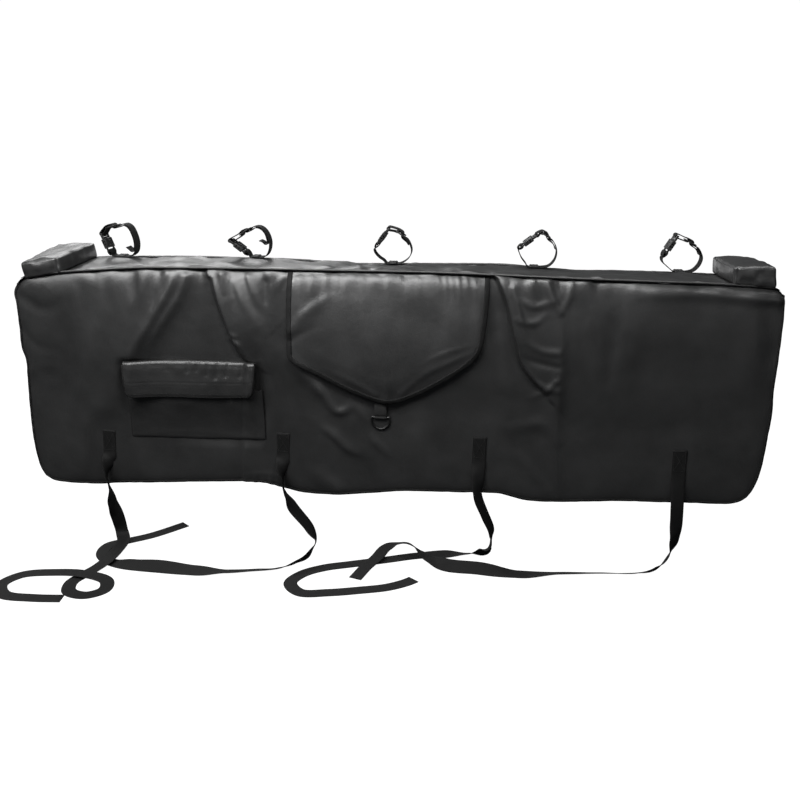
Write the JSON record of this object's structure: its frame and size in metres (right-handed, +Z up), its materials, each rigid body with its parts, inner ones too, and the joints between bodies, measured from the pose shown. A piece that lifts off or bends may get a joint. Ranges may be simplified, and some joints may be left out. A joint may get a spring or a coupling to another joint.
{
  "type": "tailgate bike pad",
  "caption": "Padded saddle cover that hangs over a pickup tailgate and straps bicycle frames to its top edge, with a covered pocket, a flap over the camera window and end bolsters.",
  "frame": {"origin": "on the underside of the top strip, where it sits on the tailgate's top edge, midway along and midway between the two hanging panels", "axes": "+X along the tailgate, the front panel faces -Y, +Z up"},
  "size_m": [1.372, 0.4, 0.6275],
  "materials": {
    "vinyl": "black coated fabric with a fine embossed grain",
    "foam": "closed-cell foam, dark grey",
    "lining": "brushed knit lining, dark grey",
    "binding": "woven black edge tape and piping",
    "webbing": "woven black webbing, satin",
    "buckle": "moulded black acetal",
    "ring": "dark plated wire",
    "hook_loop": "black hook and loop tape"
  },
  "bodies": {
    "pad": {"front_cover": "vinyl", "rear_cover": "vinyl", "top_cover": "vinyl", "left_bolster": "vinyl", "right_bolster": "vinyl", "camera_flap": "vinyl", "pocket_bag": "vinyl", "pocket_flap": "vinyl", "front_foam": "foam", "rear_foam": "foam", "top_foam": "foam", "lining": "lining", "front_welt": "binding", "rear_welt": "binding", "front_binding": "binding", "rear_binding": "binding", "window_binding": "binding", "flap_binding": "binding", "flap_tab": "webbing", "frame_strap_1": "webbing", "frame_strap_2": "webbing", "frame_strap_3": "webbing", "frame_strap_4": "webbing", "frame_strap_5": "webbing", "keeper_1": "webbing", "keeper_2": "webbing", "keeper_3": "webbing", "keeper_4": "webbing", "keeper_5": "webbing", "anchor_strap_1": "webbing", "anchor_strap_2": "webbing", "anchor_strap_3": "webbing", "anchor_strap_4": "webbing", "rear_tab_1": "webbing", "rear_tab_2": "webbing", "rear_tab_3": "webbing", "rear_tab_4": "webbing", "buckle_socket_1": "buckle", "buckle_socket_2": "buckle", "buckle_socket_3": "buckle", "buckle_socket_4": "buckle", "buckle_socket_5": "buckle", "buckle_plug_1": "buckle", "buckle_plug_2": "buckle", "buckle_plug_3": "buckle", "buckle_plug_4": "buckle", "buckle_plug_5": "buckle", "strap_slider_1": "buckle", "strap_slider_2": "buckle", "strap_slider_3": "buckle", "strap_slider_4": "buckle", "strap_slider_5": "buckle", "loop_strip": "hook_loop", "hook_strip": "hook_loop"},
    "ring": {"d_ring": "ring"},
    "lock_1": {"rear_lock_1": "buckle"},
    "lock_2": {"rear_lock_2": "buckle"},
    "lock_3": {"rear_lock_3": "buckle"},
    "lock_4": {"rear_lock_4": "buckle"}
  },
  "joints": [
    {"name": "ring_swing", "type": "hinge", "parent": "pad", "child": "ring", "pos_m": [-0.007, -0.0788, -0.254], "axis": [-1, 0, 0], "range_deg": [0, 150]},
    {"name": "lock_swing_1", "type": "hinge", "parent": "pad", "child": "lock_1", "pos_m": [-0.537, 0.0796, -0.31], "axis": [1, 0, 0], "range_deg": [-60, 90]},
    {"name": "lock_swing_2", "type": "hinge", "parent": "pad", "child": "lock_2", "pos_m": [-0.195, 0.0796, -0.31], "axis": [1, 0, 0], "range_deg": [-60, 90]},
    {"name": "lock_swing_3", "type": "hinge", "parent": "pad", "child": "lock_3", "pos_m": [0.178, 0.0796, -0.31], "axis": [1, 0, 0], "range_deg": [-60, 90]},
    {"name": "lock_swing_4", "type": "hinge", "parent": "pad", "child": "lock_4", "pos_m": [0.542, 0.0796, -0.31], "axis": [1, 0, 0], "range_deg": [-60, 90]}
  ]
}
